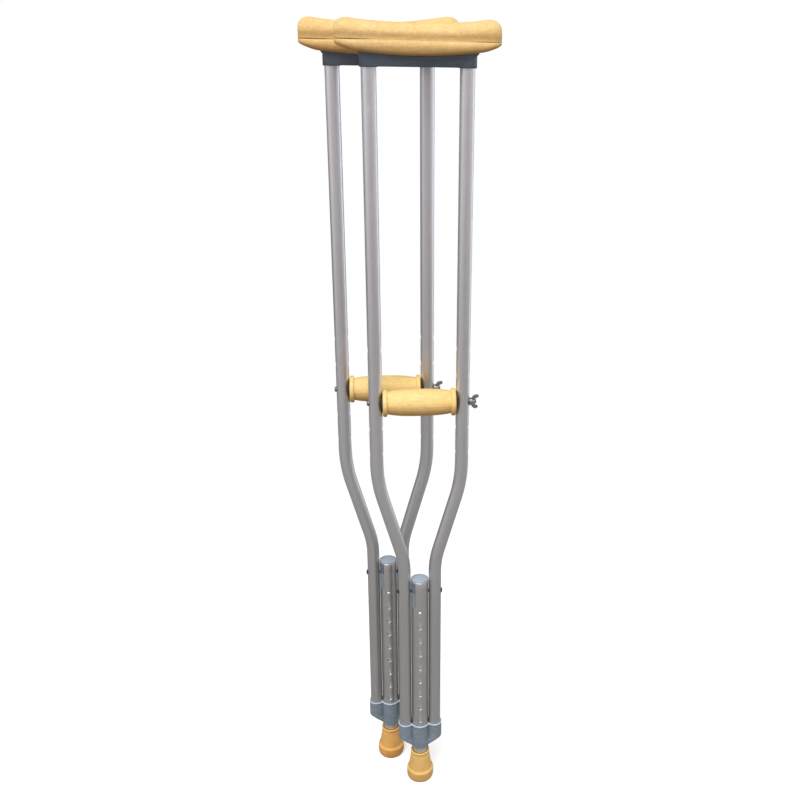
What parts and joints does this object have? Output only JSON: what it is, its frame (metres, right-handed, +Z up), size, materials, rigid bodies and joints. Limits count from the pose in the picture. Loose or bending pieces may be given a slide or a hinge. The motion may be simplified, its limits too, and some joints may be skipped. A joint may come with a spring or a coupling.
{
  "type": "underarm crutches",
  "caption": "Adjustable underarm crutches: bent twin-tube aluminium frames with padded tops, bolted hand grips and push-button telescoping legs ending in rubber tips.",
  "frame": {"origin": "centre of the rubber sole of crutch A, on the floor", "axes": "+Z up along the crutches, +X across a crutch towards its wing nut, +Y from its front (the leg button's side) to its back"},
  "size_m": [0.2499, 0.1054, 1.1656],
  "materials": {
    "pad_rubber": "soft moulded foam rubber, fine grain",
    "grip_rubber": "soft moulded rubber, slightly waxy",
    "tip_rubber": "moulded rubber",
    "tip_rubber_b": "moulded rubber, a little more orange",
    "anodised_tube": "satin anodised, drawn lengthwise",
    "bracket_plastic": "satin moulded",
    "cap_plastic": "smooth moulded",
    "black_plastic": "moulded",
    "zinc_steel": "zinc plated",
    "dark_steel": "dull",
    "spring_steel": "bright",
    "blue_label": "blank printed film"
  },
  "bodies": {
    "crutch_a": {"a_underarm_pad": "pad_rubber", "a_top_bracket": "bracket_plastic", "a_upright_left": "anodised_tube", "a_upright_right": "anodised_tube", "a_top_rivet_left": "zinc_steel", "a_top_rivet_right": "zinc_steel", "a_foot_rivet_left": "zinc_steel", "a_foot_rivet_right": "zinc_steel", "a_foot_bracket": "bracket_plastic", "a_centre_tube": "anodised_tube", "a_centre_tube_cap": "cap_plastic", "a_size_label": "blue_label", "a_cross_rivet": "dark_steel"},
    "leg_a": {"a_leg_tube": "anodised_tube", "a_leg_bushing": "black_plastic", "a_button_spring": "spring_steel", "a_rubber_tip": "tip_rubber", "a_tip_washer": "zinc_steel"},
    "button_a": {"a_snap_button": "spring_steel"},
    "grip_a": {"a_hand_grip": "grip_rubber", "a_grip_core": "black_plastic", "a_grip_saddle_left": "black_plastic", "a_grip_saddle_right": "black_plastic", "a_grip_bolt": "zinc_steel"},
    "bolt_washer_a": {"a_grip_washer": "zinc_steel"},
    "wing_nut_a": {"a_wing_nut": "zinc_steel"},
    "crutch_b": {"b_underarm_pad": "pad_rubber", "b_top_bracket": "bracket_plastic", "b_upright_left": "anodised_tube", "b_upright_right": "anodised_tube", "b_top_rivet_left": "zinc_steel", "b_top_rivet_right": "zinc_steel", "b_foot_rivet_left": "zinc_steel", "b_foot_rivet_right": "zinc_steel", "b_foot_bracket": "bracket_plastic", "b_centre_tube": "anodised_tube", "b_centre_tube_cap": "cap_plastic", "b_size_label": "blue_label", "b_cross_rivet": "dark_steel"},
    "leg_b": {"b_leg_tube": "anodised_tube", "b_leg_bushing": "black_plastic", "b_button_spring": "spring_steel", "b_rubber_tip": "tip_rubber_b", "b_tip_washer": "zinc_steel"},
    "button_b": {"b_snap_button": "spring_steel"},
    "grip_b": {"b_hand_grip": "grip_rubber", "b_grip_core": "black_plastic", "b_grip_saddle_left": "black_plastic", "b_grip_saddle_right": "black_plastic", "b_grip_bolt": "zinc_steel"},
    "bolt_washer_b": {"b_grip_washer": "zinc_steel"},
    "wing_nut_b": {"b_wing_nut": "zinc_steel"}
  },
  "joints": [
    {"name": "a_leg_extend", "type": "slide", "parent": "crutch_a", "child": "leg_a", "axis": [0, 0, -1], "range_m": [0, 0.2032], "deforming": ["a_snap_button", "a_button_spring"]},
    {"name": "a_button_press", "type": "slide", "parent": "leg_a", "child": "button_a", "axis": [0, 1, 0], "range_m": [0, 0.0045], "stiffness_N_per_m": 400},
    {"name": "a_grip_height", "type": "slide", "parent": "crutch_a", "child": "grip_a", "axis": [0, 0, 1], "range_m": [-0.078, 0.078], "stiffness_N_per_m": 900, "deforming": ["a_grip_bolt"]},
    {"name": "a_nut_travel", "type": "slide", "parent": "grip_a", "child": "bolt_washer_a", "axis": [1, 0, 0], "range_m": [0, 0.00382]},
    {"name": "a_nut_spin", "type": "hinge", "parent": "bolt_washer_a", "child": "wing_nut_a", "pos_m": [0.075, 0, 0.666], "axis": [1, 0, 0], "range_deg": [0, 1080]},
    {"name": "crutch_b_apart", "type": "slide", "parent": "crutch_a", "child": "crutch_b", "axis": [0, 1, 0], "range_m": [0, 0.45]},
    {"name": "b_leg_extend", "type": "slide", "parent": "crutch_b", "child": "leg_b", "axis": [0, 0, -1], "range_m": [0, 0.2032], "deforming": ["b_snap_button", "b_button_spring"]},
    {"name": "b_button_press", "type": "slide", "parent": "leg_b", "child": "button_b", "axis": [0.0104, 0.9999, 0], "range_m": [0, 0.0045], "stiffness_N_per_m": 400},
    {"name": "b_grip_height", "type": "slide", "parent": "crutch_b", "child": "grip_b", "axis": [0, 0, 1], "range_m": [-0.078, 0.078], "stiffness_N_per_m": 900, "deforming": ["b_grip_bolt"]},
    {"name": "b_nut_travel", "type": "slide", "parent": "grip_b", "child": "bolt_washer_b", "axis": [0.9999, -0.0104, 0], "range_m": [0, 0.00382]},
    {"name": "b_nut_spin", "type": "hinge", "parent": "bolt_washer_b", "child": "wing_nut_b", "pos_m": [0.02824, 0.05775, 0.666], "axis": [0.9999, -0.0104, 0], "range_deg": [0, 1080]}
  ],
  "couplings": [
    {"joint": "a_nut_travel", "follows": "a_nut_spin", "m_per_rad": 0.00020213},
    {"joint": "b_nut_travel", "follows": "b_nut_spin", "m_per_rad": 0.00020213}
  ]
}
